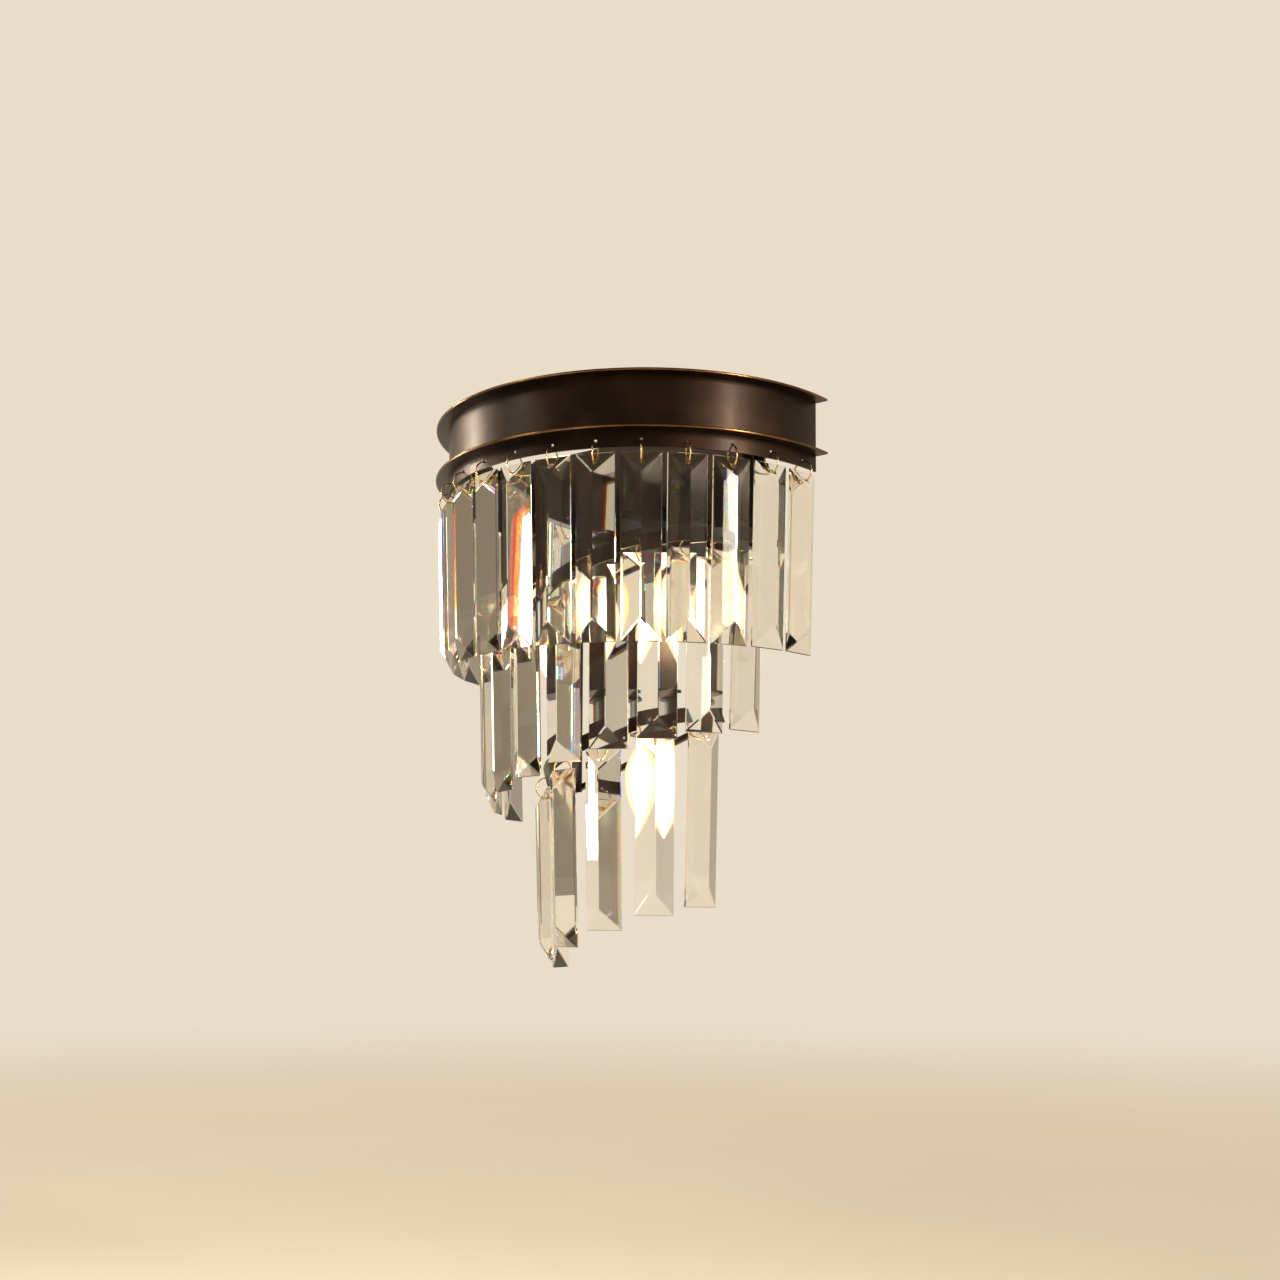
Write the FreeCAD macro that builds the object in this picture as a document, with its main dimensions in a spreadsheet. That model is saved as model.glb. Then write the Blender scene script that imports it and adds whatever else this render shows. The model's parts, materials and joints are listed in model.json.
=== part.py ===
import FreeCAD, Part

# Three-tier crystal wall sconce. Origin: centre of the wall bracket's back face, on the wall plane.
# +Z is up, the wall is the plane y = 0 and the front faces -Y. All sizes are millimetres.

import math
import os
import re
import Sketcher

V = FreeCAD.Vector
Z_AXIS = V(0, 0, 1)

doc = FreeCAD.newDocument("crystal_sconce")
sheet = doc.addObject("Spreadsheet::Sheet", "Sizes")

# ---------------------------------------------------------------- sizes
SIZES = [
    # top band and its two rims
    ("band_radius", 140.8, "outer radius of the top band"),
    ("band_skin", 1.2, "thickness of the top band's strip"),
    ("band_top", 50.0, "height of the band's upper edge above the origin"),
    ("band_height", 47.9, "height of the top band"),
    ("rim_reach", 9.2, "how far each rim stands out from the band"),
    ("rim_skin", 1.6, "thickness of each rim"),
    ("rim_drop", 35.9, "from the upper rim's top to the lower rim's top"),
    # rings and crystals
    ("ring_wire", 1.0, "diameter of the ring wire"),
    ("ring_mean", 14.4, "mean diameter of a ring"),
    ("ring_play", 0.1, "gap between a ring and the hole that carries it"),
    ("band_hole", 2.4, "ring hole in the top band"),
    ("band_margin", 4.4, "ring hole centre above the top band's lower edge"),
    ("hoop_hole", 3.0, "ring hole in a lower hoop"),
    ("hoop_margin", 2.6, "ring hole centre above a lower hoop's lower edge"),
    ("crystal_width", 26.0, "width of a crystal's flat back"),
    ("crystal_depth", 9.5, "depth of a crystal from back to ridge"),
    ("crystal_edge", 1.0, "thickness of a crystal's two long edges"),
    ("crystal_length", 120.0, "length of a crystal"),
    ("crystal_facet", 14.0, "height of the slanting facet at each end"),
    ("crystal_over", 2.0, "how far the cuts of those facets run past the glass"),
    ("crystal_hole", 3.0, "ring hole in a crystal"),
    ("crystal_hole_down", 7.0, "ring hole centre below the crystal's top"),
    ("crystal_hole_in", 1.5, "ring's lowest point in front of the crystal's back"),
    # hoops: mid radius, plane height on the centre line, lean of the plane
    ("hoop_skin", 1.2, "thickness of the two lower hoops' strips"),
    ("middle_radius", 112.0, "outer radius of the middle hoop"),
    ("middle_height", 11.0, "height of the middle hoop's strip"),
    ("middle_level", -71.4, "middle hoop's lower edge above the origin, on the centre line"),
    ("middle_lean", 14.0, "lean of the middle hoop, right end up, degrees"),
    ("lower_radius", 71.5, "outer radius of the lower hoop"),
    ("lower_height", 10.0, "height of the lower hoop's strip"),
    ("lower_level", -181.6, "lower hoop's lower edge above the origin, on the centre line"),
    ("lower_lean", 18.2, "lean of the lower hoop, right end up, degrees"),
    # crystals in each tier, and the hole spacing along each hoop in degrees
    ("top_count", 15, "number of crystals in the top tier"),
    ("middle_count", 10, "number of crystals in the middle tier"),
    ("lower_count", 6, "number of crystals in the lower tier"),
    ("top_pitch", 12.0, "angle between the top band's ring holes"),
    ("middle_pitch", 17.0, "angle between the middle hoop's ring holes"),
    ("lower_pitch", 29.8, "angle between the lower hoop's ring holes"),
    # back
    ("plate_gap", 0.8476, "gap between the back plate's sides and the middle hoop's straps"),
    ("plate_clear", 1.00362, "gap between the back plate's lower right corner and the rail below"),
    ("canopy_depth", 20.0, "depth of the back plate"),
    ("canopy_skin", 1.2, "sheet thickness of the back plate"),
    ("rail_depth", 4.0, "thickness of the rear rails"),
    ("rail_height", 3.6, "height of the two lower rear rails"),
    ("spine_width", 40.0, "width of the spine channel"),
    ("spine_bottom", -135.0, "lower end of the spine above the origin"),
    ("spine_skin", 1.5, "sheet thickness of the spine"),
    ("strap_width", 8.0, "width of the hanger straps"),
    ("strap_skin", 2.0, "thickness of the hanger straps"),
    ("strap_gap", 1.0, "gap between a strap and the inside of its hoop"),
    ("bracket_end", 8.0, "how far the wall bracket runs past its studs"),
    ("bracket_height", 20.0, "height of the wall bracket"),
    ("bracket_skin", 2.0, "thickness of the wall bracket"),
    ("slot_spacing", 70.0, "distance between the wall screw slots"),
    ("slot_length", 12.0, "end-to-end length of a wall screw slot"),
    ("slot_width", 4.6, "width of a wall screw slot"),
    ("stud_inset", 17.0, "from a stud to the back plate's nearest side"),
    ("stud_size", 4.0, "diameter of a stud"),
    ("stud_play", 0.25, "radial gap between a stud and the back plate's hole"),
    ("stud_reach", 6.0, "how far a stud stands out from the back plate into its cap nut"),
    ("cap_size", 12.0, "diameter of a cap nut"),
    ("cap_height", 4.0, "height of a cap nut below its dome"),
    ("cap_dome", 10.0, "diameter of a cap nut's dome"),
    # lamps
    ("lamp_spread", 50.0, "upper lamps' distance from the centre line"),
    ("lamp_front", 50.0, "upper lamps' distance from the wall"),
    ("lamp_level", -22.0, "underside of the upper lamps' arm above the origin"),
    ("low_lamp_side", 26.0, "lower lamp's distance right of the centre line"),
    ("low_lamp_front", 30.0, "lower lamp's distance from the wall"),
    ("arm_width", 16.0, "width of a lamp arm's strip"),
    ("arm_skin", 2.0, "thickness of a lamp arm's strip"),
    ("socket_size", 26.0, "outside diameter of a lamp socket"),
    ("socket_length", 24.0, "length of a lamp socket"),
    ("socket_skin", 2.0, "wall of a lamp socket"),
    ("cup_size", 34.0, "diameter of the cap above a socket"),
    ("cup_height", 8.0, "height of the cap above a socket"),
    ("cup_lip", 1.2, "height of the upright edge round that cap"),
    ("cup_crown", 18.7, "diameter of that cap's flat top"),
    ("base_size", 13.5, "diameter of a bulb's metal base"),
    ("base_length", 22.0, "length of a bulb's metal base"),
    ("base_play", 0.1, "radial gap between a bulb's base and its socket"),
    ("bulb_size", 34.0, "largest diameter of a bulb"),
    ("bulb_length", 70.0, "length of a bulb's glass"),
]
size = {}
for row, (name, value, note) in enumerate(SIZES, start=1):
    sheet.set(f"A{row}", str(value))
    sheet.setAlias(f"A{row}", name)
    sheet.set(f"B{row}", note)
doc.recompute()
for name, value, note in SIZES:
    size[name] = float(sheet.get(name))


def from_sheet(text):
    """An expression in which every size's name points at its cell in the sheet."""
    return re.sub(r"[a-z]+_[a-z_]+", lambda match: "Sizes." + match.group(), text)


def value_of(text):
    """What an expression of sizes comes to."""
    return float(sheet.evalExpression(from_sheet(text)))


def bind(obj, **expressions):
    """Tie properties of an object to expressions of sizes."""
    for name, text in expressions.items():
        obj.setExpression(name, from_sheet(text))


nodes = {}


def keep(obj, node):
    """Name a finished object after its node and keep it for export."""
    obj.Label = node
    nodes[node] = obj
    return obj


# ---------------------------------------------------------------- building blocks
def make_body(name):
    """A new body and its three origin planes by role."""
    body = doc.addObject("PartDesign::Body", name)
    planes = {part.Role: part for part in body.Origin.OriginFeatures}
    return body, planes


def sketch_on(body, plane, name, offset=0.0):
    """A sketch fixed flat to one of its body's origin planes, moved along its normal."""
    sketch = body.newObject("Sketcher::SketchObject", name)
    sketch.AttachmentSupport = [(plane, "")]
    sketch.MapMode = "FlatFace"
    sketch.AttachmentOffset = FreeCAD.Placement(V(0, 0, offset), FreeCAD.Rotation())
    return sketch


def add_polygon(sketch, corners):
    """A closed outline of straight lines; each corner is a pair of expressions of sizes."""
    first = sketch.GeometryCount
    count = len(corners)
    points = [V(value_of(x), value_of(y), 0) for x, y in corners]
    for i in range(count):
        sketch.addGeometry(Part.LineSegment(points[i], points[(i + 1) % count]), False)
    for i in range(count):
        sketch.addConstraint(
            Sketcher.Constraint("Coincident", first + i, 2, first + (i + 1) % count, 1))
    for i, corner in enumerate(corners):
        for kind, place, text in zip(("DistanceX", "DistanceY"), points[i], corner):
            rule = sketch.addConstraint(Sketcher.Constraint(kind, -1, 1, first + i, 1, place))
            sketch.setExpression(f"Constraints[{rule}]", from_sheet(text))


def rectangle(left, bottom, right, top):
    """The four corners of a rectangle."""
    return [(left, bottom), (right, bottom), (right, top), (left, top)]


def add_circle(sketch, x, y, radius):
    """A circle in a sketch, its radius an expression of sizes."""
    sketch.addGeometry(Part.Circle(V(x, y, 0), Z_AXIS, value_of(radius)), False)
    rule = sketch.addConstraint(
        Sketcher.Constraint("Radius", sketch.GeometryCount - 1, value_of(radius)))
    sketch.setExpression(f"Constraints[{rule}]", from_sheet(radius))


def add_slot(sketch, x, y, length, width):
    """A slot that runs along the sketch's x axis, with round ends."""
    r = width / 2
    half = length / 2 - r
    quarter = math.pi / 2
    sketch.addGeometry(Part.LineSegment(V(x - half, y + r, 0), V(x + half, y + r, 0)), False)
    sketch.addGeometry(Part.LineSegment(V(x + half, y - r, 0), V(x - half, y - r, 0)), False)
    left = Part.Circle(V(x - half, y, 0), Z_AXIS, r)
    right = Part.Circle(V(x + half, y, 0), Z_AXIS, r)
    sketch.addGeometry(Part.ArcOfCircle(left, quarter, 3 * quarter), False)
    sketch.addGeometry(Part.ArcOfCircle(right, -quarter, quarter), False)


def pad(body, sketch, length, down=False):
    """A straight pad of a sketch, its length an expression of sizes."""
    feature = body.newObject("PartDesign::Pad", sketch.Name + "_pad")
    feature.Profile = sketch
    bind(feature, Length=length)
    feature.Reversed = down
    sketch.Visibility = False
    return feature


def cut_through(body, sketch):
    """A pocket that runs right through, both ways."""
    feature = body.newObject("PartDesign::Pocket", sketch.Name + "_cut")
    feature.Profile = sketch
    feature.Type = "ThroughAll"
    feature.Midplane = True
    sketch.Visibility = False
    return feature


def box(name, low, high, **expressions):
    """A box between two corners; the sides that one size sets are tied to it."""
    solid = doc.addObject("Part::Box", name)
    solid.Length = high[0] - low[0]
    solid.Width = high[1] - low[1]
    solid.Height = high[2] - low[2]
    bind(solid, **expressions)
    solid.Placement.Base = V(*low)
    return solid


def cylinder(name, radius, height, base, turn=None):
    """A cylinder that starts at base; it runs up unless turned."""
    solid = doc.addObject("Part::Cylinder", name)
    bind(solid, Radius=radius, Height=height)
    solid.Placement = FreeCAD.Placement(V(*base), turn or FreeCAD.Rotation())
    return solid


def cut(name, base, tool):
    """One solid less another."""
    solid = doc.addObject("Part::Cut", name)
    solid.Base = base
    solid.Tool = tool
    return solid


def group(name, members):
    """Several solids under one name; touching ones become one."""
    solid = doc.addObject("Part::MultiFuse", name)
    solid.Shapes = members
    return solid


def half_tube(name, inner, outer, height):
    """A standing half ring in front of the wall, its foot at height 0, as a revolution."""
    body, planes = make_body(name)
    sketch = sketch_on(body, planes["XZ_Plane"], name + "_section")
    add_polygon(sketch, rectangle(inner, "0", outer, height))
    turn = body.newObject("PartDesign::Revolution", name + "_turn")
    turn.Profile = sketch
    turn.ReferenceAxis = (sketch, ["V_Axis"])
    turn.Angle = 180
    turn.Reversed = True
    sketch.Visibility = False
    return body, planes


# ---------------------------------------------------------------- crystals
wire_r = size["ring_wire"] / 2
ring_r = size["ring_mean"] / 2
depth = size["crystal_depth"]
edge = size["crystal_edge"]


def make_crystal(name):
    """A ridged prism hanging down from height 0: flat back on y = 0, ridge in front."""
    body, planes = make_body(name)
    section = sketch_on(body, planes["XY_Plane"], name + "_section")
    add_polygon(section, [("-crystal_width / 2", "0"), ("crystal_width / 2", "0"),
                          ("crystal_width / 2", "-crystal_edge"), ("0", "-crystal_depth"),
                          ("-crystal_width / 2", "-crystal_edge")])
    pad(body, section, "crystal_length", down=True)
    front = "-crystal_depth - crystal_over"
    drop = "crystal_facet * (1 + crystal_over / (crystal_depth - crystal_edge))"
    ends = sketch_on(body, planes["YZ_Plane"], name + "_ends")
    add_polygon(ends, [("-crystal_edge", "crystal_over"), ("-crystal_edge", "0"),
                       (front, f"-{drop}"), (front, "crystal_over")])
    add_polygon(ends, [("-crystal_edge", "-crystal_length - crystal_over"),
                       (front, "-crystal_length - crystal_over"),
                       (front, f"-crystal_length + {drop}"),
                       ("-crystal_edge", "-crystal_length")])
    cut_through(body, ends)
    hole = sketch_on(body, planes["XZ_Plane"], name + "_hole")
    add_circle(hole, 0, -size["crystal_hole_down"], "crystal_hole / 2")
    cut_through(body, hole)
    return body


hung = []


def hang_crystal(name, pivot, around):
    """A crystal that will hang from the ring whose centre is the pivot, facing outward."""
    body = make_crystal(name)
    hung.append((body, pivot, around))
    keep(body, name)


def make_ring(name, pivot, around):
    """A wire ring standing in the radial upright plane, its centre at the pivot."""
    ring = doc.addObject("Part::Torus", name)
    bind(ring, Radius1="ring_mean / 2", Radius2="ring_wire / 2")
    ring.Placement = FreeCAD.Placement(pivot, FreeCAD.Rotation(Z_AXIS, around).multiply(
        FreeCAD.Rotation(V(0, 1, 0), 90)))
    return ring


# ---------------------------------------------------------------- hoops with holes, rings, crystals
def ring_angles(count, pitch):
    """Hole angles from right to left, even about the middle; 0 faces the front."""
    return [pitch * ((count - 1) / 2 - i) for i in range(count)]


def make_hoop(hoop, foot, lean, angles):
    """A half-ring strip with its foot at a height, leaning right end up, drilled for rings."""
    outer, skin = size[hoop["radius"]], size[hoop["skin"]]
    margin = size[hoop["margin"]]
    body, planes = half_tube(hoop["node"], f"{hoop['radius']} - {hoop['skin']}",
                             hoop["radius"], hoop["height"])
    start = outer - 2.5 * skin
    for i, angle in enumerate(angles):
        bore = body.newObject("PartDesign::SubtractiveCylinder", f"{hoop['node']}_hole_{i + 1}")
        bind(bore, Radius=f"{hoop['hole']} / 2", Height=f"4 * {hoop['skin']}")
        around = math.radians(angle)
        bore.AttachmentSupport = [(planes["XY_Plane"], "")]
        bore.MapMode = "FlatFace"
        bore.AttachmentOffset = FreeCAD.Placement(
            V(start * math.sin(around), -start * math.cos(around), margin),
            FreeCAD.Rotation(Z_AXIS, angle).multiply(FreeCAD.Rotation(V(1, 0, 0), 90)))
    body.Placement = FreeCAD.Placement(V(0, 0, foot), FreeCAD.Rotation(V(0, 1, 0), -lean))
    return keep(body, hoop["node"])


def ring_pivot(hoop, foot, lean, angle):
    """Centre of the ring that hangs in the hole at an angle of a leaning hoop."""
    outer, skin = size[hoop["radius"]], size[hoop["skin"]]
    mid = outer - skin / 2
    around = math.radians(angle)
    tilt = FreeCAD.Rotation(V(0, 1, 0), -lean)
    middle = V(mid * math.sin(around), -mid * math.cos(around), size[hoop["margin"]])
    middle = tilt.multVec(middle) + V(0, 0, foot)
    slant = skin / 2 * math.tan(math.radians(lean))
    rest = size[hoop["hole"]] / 2 - wire_r - size["ring_play"] - slant
    return middle - V(0, 0, rest + ring_r)


def facing(angle, lean):
    """Compass direction of a hole's outward normal once its hoop leans."""
    around = math.radians(angle)
    return math.degrees(math.atan2(math.sin(around) * math.cos(math.radians(lean)),
                                   math.cos(around)))


band = {"node": "top_band", "radius": "band_radius", "skin": "band_skin",
        "height": "band_height", "hole": "band_hole", "margin": "band_margin"}
middle = {"node": "middle_hoop", "radius": "middle_radius", "skin": "hoop_skin",
          "height": "middle_height", "hole": "hoop_hole", "margin": "hoop_margin"}
lower = {"node": "lower_hoop", "radius": "lower_radius", "skin": "hoop_skin",
         "height": "lower_height", "hole": "hoop_hole", "margin": "hoop_margin"}
tiers = [
    ("top", band, size["band_top"] - size["band_height"], 0.0),
    ("middle", middle, size["middle_level"], size["middle_lean"]),
    ("lower", lower, size["lower_level"], size["lower_lean"]),
]
for tier, hoop, foot, lean in tiers:
    angles = ring_angles(round(size[f"{tier}_count"]), size[f"{tier}_pitch"])
    make_hoop(hoop, foot, lean, angles)
    rings = []
    for i, angle in enumerate(angles):
        pivot = ring_pivot(hoop, foot, lean, angle)
        around = facing(angle, lean)
        rings.append(make_ring(f"{tier}_ring_{i + 1}", pivot, around))
        hang_crystal(f"{tier}_crystal_{i + 1:02d}", pivot, around)
    ring_group = doc.addObject("Part::Compound", f"{tier}_rings")
    ring_group.Links = rings
    keep(ring_group, f"{tier}_rings")

# The glass hangs plumb: its centre of mass, the ring's lowest point and the ring's centre lie on one
# upright line. The arc's lowest point sits below the roof of the hole by the arc's rise in the glass.
doc.recompute()
glass = hung[0][0].Shape.Solids[0]
seat_in = size["crystal_hole_in"]
glass_there = edge + (depth - edge) * size["crystal_hole_down"] / size["crystal_facet"]
arc_reach = max(glass_there - seat_in, seat_in) + size["crystal_hole"] / 4
arc_rise = ring_r - math.sqrt(ring_r ** 2 - arc_reach ** 2)
roof = -size["crystal_hole_down"] + size["crystal_hole"] / 2
seat = V(0, -seat_in, roof - wire_r - arc_rise - size["ring_play"])
upright = (seat - V(0, glass.CenterOfMass.y, glass.CenterOfMass.z)).normalize()
hang = math.degrees(math.atan2(upright.y, upright.z))
for body, pivot, around in hung:
    turn = FreeCAD.Rotation(Z_AXIS, around).multiply(FreeCAD.Rotation(V(1, 0, 0), hang))
    body.Placement = FreeCAD.Placement(pivot - turn.multVec(seat + upright * ring_r), turn)
    print(f"pivot {body.Label} {pivot.x:.4f} {pivot.y:.4f} {pivot.z:.4f} facing {around:.4f}")

# ---------------------------------------------------------------- rims of the top band
for node, top in (("top_rim", size["band_top"]), ("lower_rim", size["band_top"] - size["rim_drop"])):
    rim, rim_planes = half_tube(node, "band_radius", "band_radius + rim_reach", "rim_skin")
    rim.Placement.Base = V(0, 0, top - size["rim_skin"])
    keep(rim, node)

# ---------------------------------------------------------------- wall bracket and back plate
def strap_side(radius, height, lean):
    """How far from the centre line a leaning hoop's straps stand, on their inner side."""
    inside = (radius - size["hoop_skin"]) * math.cos(lean) - height * math.sin(lean)
    return inside - size["strap_gap"] - size["strap_width"]


rail_lean = math.radians(size["middle_lean"])
plate_side = strap_side(size["middle_radius"], size["middle_height"], rail_lean) - size["plate_gap"]
rail_top = (size["middle_level"] + plate_side * math.tan(rail_lean)
            + size["rail_height"] / math.cos(rail_lean))
plate_end = -rail_top - size["plate_clear"]
stud_side = plate_side - size["stud_inset"]
sheet_row = len(SIZES)
for name, value, note in (("plate_side", plate_side, "half the back plate's width"),
                          ("plate_end", plate_end, "half the back plate's height"),
                          ("stud_side", stud_side, "a stud's distance from the centre line")):
    sheet_row += 1
    sheet.set(f"A{sheet_row}", repr(value))
    sheet.setAlias(f"A{sheet_row}", name)
    sheet.set(f"B{sheet_row}", note)
doc.recompute()

bracket, planes = make_body("wall_bracket")
outline = sketch_on(bracket, planes["XZ_Plane"], "bracket_outline")
add_polygon(outline, rectangle("-stud_side - bracket_end", "-bracket_height / 2",
                               "stud_side + bracket_end", "bracket_height / 2"))
pad(bracket, outline, "bracket_skin")
openings = sketch_on(bracket, planes["XZ_Plane"], "bracket_openings")
for side in (-1, 1):
    add_slot(openings, side * size["slot_spacing"] / 2, 0, size["slot_length"],
             size["slot_width"])
    add_circle(openings, side * stud_side, 0, "stud_size / 2")
cut_through(bracket, openings)
keep(bracket, "wall_bracket")

ch = plate_end
cd = size["canopy_depth"]
canopy, planes = make_body("back_plate")
outline = sketch_on(canopy, planes["XZ_Plane"], "plate_outline")
add_polygon(outline, rectangle("-plate_side", "-plate_end",
                               "plate_side", "plate_end"))
pad(canopy, outline, "canopy_depth")
hollow = sketch_on(canopy, planes["XZ_Plane"], "plate_hollow")
add_polygon(hollow, rectangle("-plate_side + canopy_skin", "-plate_end + canopy_skin",
                              "plate_side - canopy_skin", "plate_end - canopy_skin"))
pocket = canopy.newObject("PartDesign::Pocket", "plate_hollow_cut")
pocket.Profile = hollow
bind(pocket, Length="canopy_depth - canopy_skin")
pocket.Reversed = True
stud_holes = sketch_on(canopy, planes["XZ_Plane"], "plate_stud_holes")
for side in (-1, 1):
    add_circle(stud_holes, side * stud_side, 0, "stud_size / 2 + stud_play")
cut_through(canopy, stud_holes)
keep(canopy, "back_plate")

forward = FreeCAD.Rotation(V(1, 0, 0), 90)
studs = [cylinder(f"stud_{i}", "stud_size / 2", "canopy_depth + stud_reach",
                  (side * stud_side, 0, 0), forward)
         for i, side in enumerate((-1, 1))]
stud_group = doc.addObject("Part::Compound", "plate_studs")
stud_group.Links = studs
keep(stud_group, "plate_studs")

caps = []
for i, side in enumerate((-1, 1)):
    face = (side * stud_side, -cd, 0)
    nut = cylinder(f"cap_nut_{i}", "cap_size / 2", "cap_height", face, forward)
    dome = doc.addObject("Part::Sphere", f"cap_dome_{i}")
    bind(dome, Radius="cap_dome / 2")
    dome.Placement.Base = V(*face) - V(0, size["cap_dome"] / 2, 0)
    head = group(f"cap_head_{i}", [nut, dome])
    bore = cylinder(f"cap_bore_{i}", "stud_size / 2", "stud_reach", face, forward)
    caps.append(cut(f"cap_{i}", head, bore))
cap_group = doc.addObject("Part::Compound", "cap_nuts")
cap_group.Links = caps
keep(cap_group, "cap_nuts")

# ---------------------------------------------------------------- rear rails, spine and straps
rd = size["rail_depth"]


def rail_reach(outer, skin):
    """Half length of a rail that just touches the inside of a half ring at the rail's front."""
    return math.sqrt((outer - skin) ** 2 - rd ** 2)


band_in = rail_reach(size["band_radius"], size["band_skin"])
keep(box("top_rail", (-band_in, -rd, ch), (band_in, 0, size["band_top"]),
         Width="rail_depth", Height="band_top - plate_end"), "top_rail")


def leaning_rail(node, outer, foot, lean):
    """A bar across the wall between a leaning hoop's two ends."""
    reach = rail_reach(outer, size["hoop_skin"])
    rail = box(node, (-reach, -rd, 0), (reach, 0, size["rail_height"]),
               Width="rail_depth", Height="rail_height")
    turn = FreeCAD.Rotation(V(0, 1, 0), -lean)
    rail.Placement = FreeCAD.Placement(V(0, 0, foot) + turn.multVec(V(-reach, -rd, 0)), turn)
    return keep(rail, node)


leaning_rail("middle_rail", size["middle_radius"], size["middle_level"], size["middle_lean"])
leaning_rail("lower_rail", size["lower_radius"], size["lower_level"], size["lower_lean"])

sw = size["spine_width"] / 2
spine, planes = make_body("spine")
outline = sketch_on(spine, planes["XY_Plane"], "spine_section", -ch)
out, bare = "spine_width / 2", "spine_width / 2 - spine_skin"
open_y, front_y, web_y = "-rail_depth", "-canopy_depth", "-canopy_depth + spine_skin"
add_polygon(outline, [(f"-{out}", open_y), (f"-{out}", front_y), (out, front_y), (out, open_y),
                      (bare, open_y), (bare, web_y), (f"-({bare})", web_y), (f"-({bare})", open_y)])
pad(spine, outline, "-plate_end - spine_bottom", down=True)
keep(spine, "spine")

st, sk = size["strap_width"], size["strap_skin"]
for hoop, outer, top, level, lean, height in (
        ("middle", size["middle_radius"], size["band_top"], size["middle_level"],
         math.radians(size["middle_lean"]), size["middle_height"]),
        ("lower", size["lower_radius"], -ch, size["lower_level"],
         math.radians(size["lower_lean"]), size["lower_height"])):
    centre_x = strap_side(outer, height, lean) + st / 2
    for side, word in ((-1, "left"), (1, "right")):
        x = side * centre_x
        foot = level + (x - st / 2) * math.tan(lean)
        keep(box(f"{hoop}_strap_{word}", (x - st / 2, -rd - sk, foot), (x + st / 2, -rd, top),
                 Length="strap_width", Width="strap_skin"), f"{hoop}_strap_{word}")

# ---------------------------------------------------------------- lamps
arm_w, arm_t = size["arm_width"], size["arm_skin"]
cup_h, socket_l = size["cup_height"], size["socket_length"]
core_r = size["base_size"] / 2
bulb_r, bulb_l = size["bulb_size"] / 2, size["bulb_length"]


def turned(name, profile, x, y, z, curve=None):
    """A body of revolution about an upright axis at x, y, with its profile's zero at z."""
    body, planes = make_body(name)
    outline = sketch_on(body, planes["XZ_Plane"], f"{name}_profile")
    if curve:
        outline.addGeometry(curve, False)
        for a, b in zip(profile, profile[1:]):
            outline.addGeometry(Part.LineSegment(V(a[0], a[1], 0), V(b[0], b[1], 0)), False)
    else:
        add_polygon(outline, profile)
    turn = body.newObject("PartDesign::Revolution", f"{name}_turn")
    turn.Profile = outline
    turn.ReferenceAxis = (outline, ["V_Axis"])
    turn.Angle = 360
    outline.Visibility = False
    body.Placement.Base = V(x, y, z)
    return body


def bulb_curve():
    """The flame-shaped side of a bulb's glass, from its neck down to the tip."""
    neck = core_r * 0.95
    outline = [(neck, 0), (neck * 1.02, 0.05), (bulb_r * 0.84, 0.24), (bulb_r, 0.42),
               (bulb_r * 0.74, 0.68), (bulb_r * 0.26, 0.92), (0, 1)]
    curve = Part.BSplineCurve()
    curve.interpolate([V(r, -down * bulb_l, 0) for r, down in outline])
    return curve, [(0, -bulb_l), (0, 0), (neck, 0)]


lamps = [
    ("left", -size["lamp_spread"], -size["lamp_front"], size["lamp_level"]),
    ("right", size["lamp_spread"], -size["lamp_front"], size["lamp_level"]),
    ("low", size["low_lamp_side"], -size["low_lamp_front"], size["spine_bottom"] - arm_t),
]
cup_profile = [("0", "0"), ("cup_crown / 2", "0"), ("cup_size / 2", "-cup_height + cup_lip"),
               ("cup_size / 2", "-cup_height"), ("0", "-cup_height")]
bore_x = "base_size / 2 + base_play"
socket_profile = [("0", "0"), ("socket_size / 2", "0"), ("socket_size / 2", "-socket_length"),
                  (bore_x, "-socket_length"), (bore_x, "-socket_skin"), ("0", "-socket_skin")]
cups, sockets, bases = [], [], []
for word, x, y, level in lamps:
    socket_top = level - cup_h
    foot = socket_top - socket_l
    cups.append(turned(f"{word}_cup", cup_profile, x, y, level))
    sockets.append(turned(f"{word}_socket", socket_profile, x, y, socket_top))
    bases.append(cylinder(f"{word}_base", "base_size / 2", "base_length", (x, y, foot)))
    curve, closing = bulb_curve()
    keep(turned(f"{word}_bulb", closing, x, y, foot, curve), f"{word}_bulb")
for node, members in (("lamp_cups", cups), ("lamp_sockets", sockets), ("bulb_bases", bases)):
    lamp_group = doc.addObject("Part::Compound", node)
    lamp_group.Links = members
    keep(lamp_group, node)

arms = []
for word, x, y, level in lamps[:2]:
    arms.append(box(f"{word}_arm", (x - arm_w / 2, y - arm_w / 2, level),
                    (x + arm_w / 2, -cd, level + arm_t), Length="arm_width", Height="arm_skin"))
arm_group = doc.addObject("Part::Compound", "upper_arms")
arm_group.Links = arms
keep(arm_group, "upper_arms")
word, x, y, level = lamps[2]
keep(box("low_arm", (-sw, y - arm_w / 2, level), (x + arm_w / 2, -rd, level + arm_t),
         Height="arm_skin"), "low_arm")

# ---------------------------------------------------------------- check and export
doc.recompute()
for obj in doc.Objects:
    if "Invalid" in obj.State or "Error" in obj.State:
        raise RuntimeError(f"{obj.Name}: {obj.State}")
os.makedirs("parts", exist_ok=True)
for node, obj in nodes.items():
    shape = obj.Shape
    if shape.isNull() or not shape.isValid():
        raise RuntimeError(f"{node} has a bad shape")
    shape.exportStep(os.path.join("parts", f"{node}.step"))
    print(f"{node}: {len(shape.Solids)} solid(s), {shape.Volume:.1f} mm3, "
          f"z {shape.BoundBox.ZMin:.1f} to {shape.BoundBox.ZMax:.1f}")
print(f"crystals lean {hang:.3f} degrees inward, {len(nodes)} nodes")
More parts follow.
